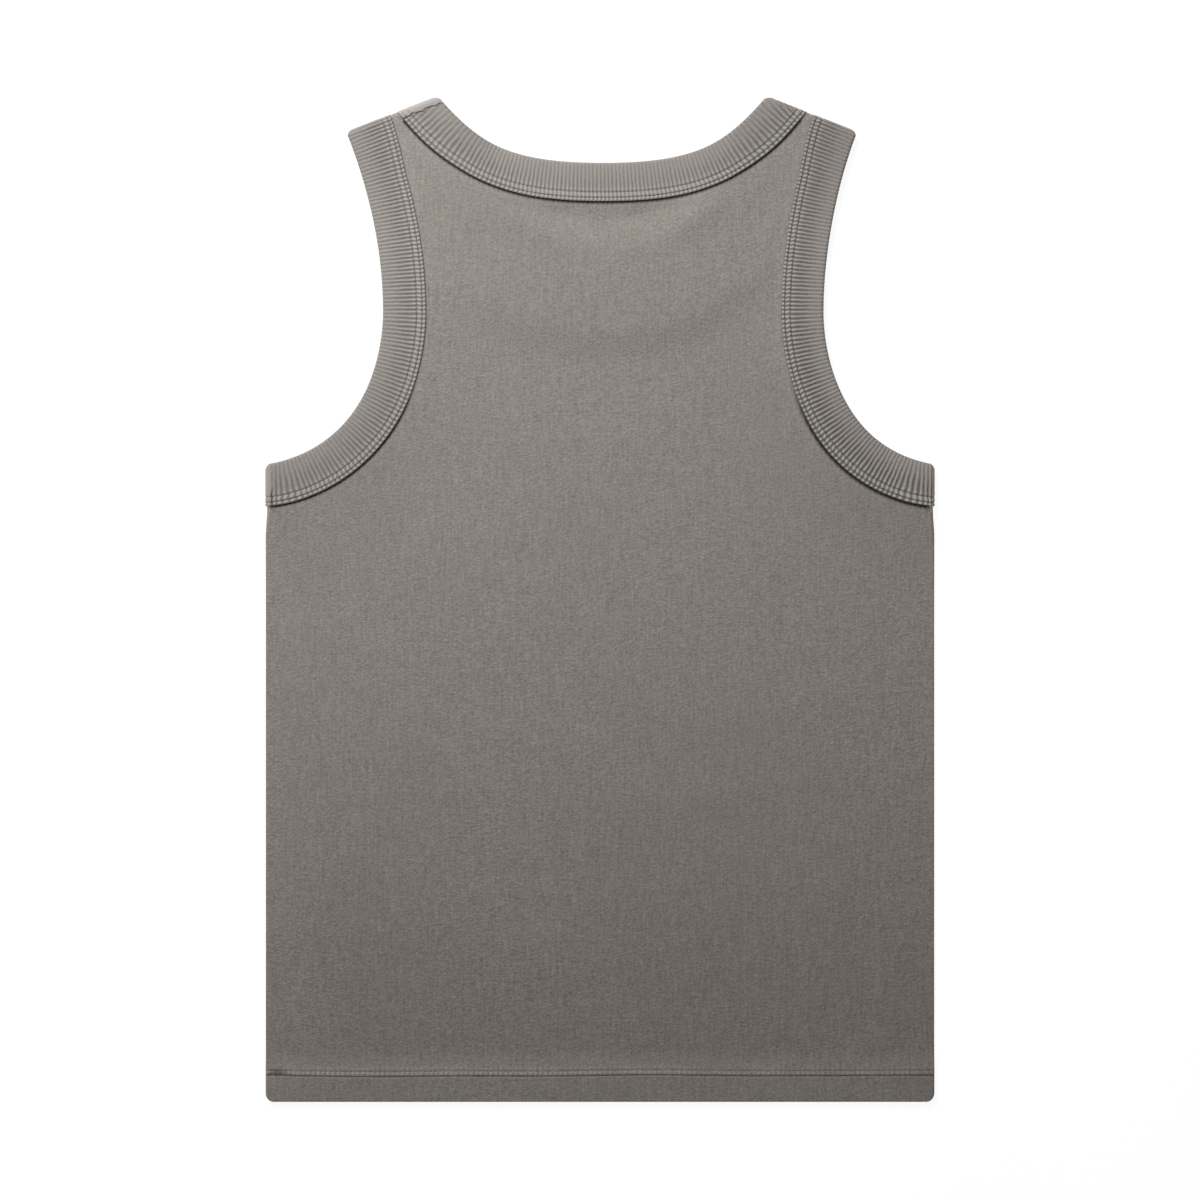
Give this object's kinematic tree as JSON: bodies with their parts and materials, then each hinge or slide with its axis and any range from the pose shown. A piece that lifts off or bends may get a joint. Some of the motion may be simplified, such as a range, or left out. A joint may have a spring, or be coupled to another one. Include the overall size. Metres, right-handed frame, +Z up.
{
  "type": "tank top",
  "caption": "Sleeveless cotton jersey tank top with rib-bound neck and armholes and a turned hem, laid flat with its back facing up.",
  "frame": {"origin": "centre of the flat garment's outline, on the surface that it lies on", "axes": "+X across the garment to the picture's right, +Y from the hem towards the shoulders, +Z up, out of the back"},
  "size_m": [0.5, 0.75, 0.0075],
  "materials": {
    "jersey": "washed matt cotton jersey",
    "rib": "washed matt cotton rib knit"
  },
  "bodies": {
    "root": {"front_panel": "jersey", "back_panel": "jersey", "neckband": "rib", "armband_left": "rib", "armband_right": "rib"}
  },
  "joints": []
}
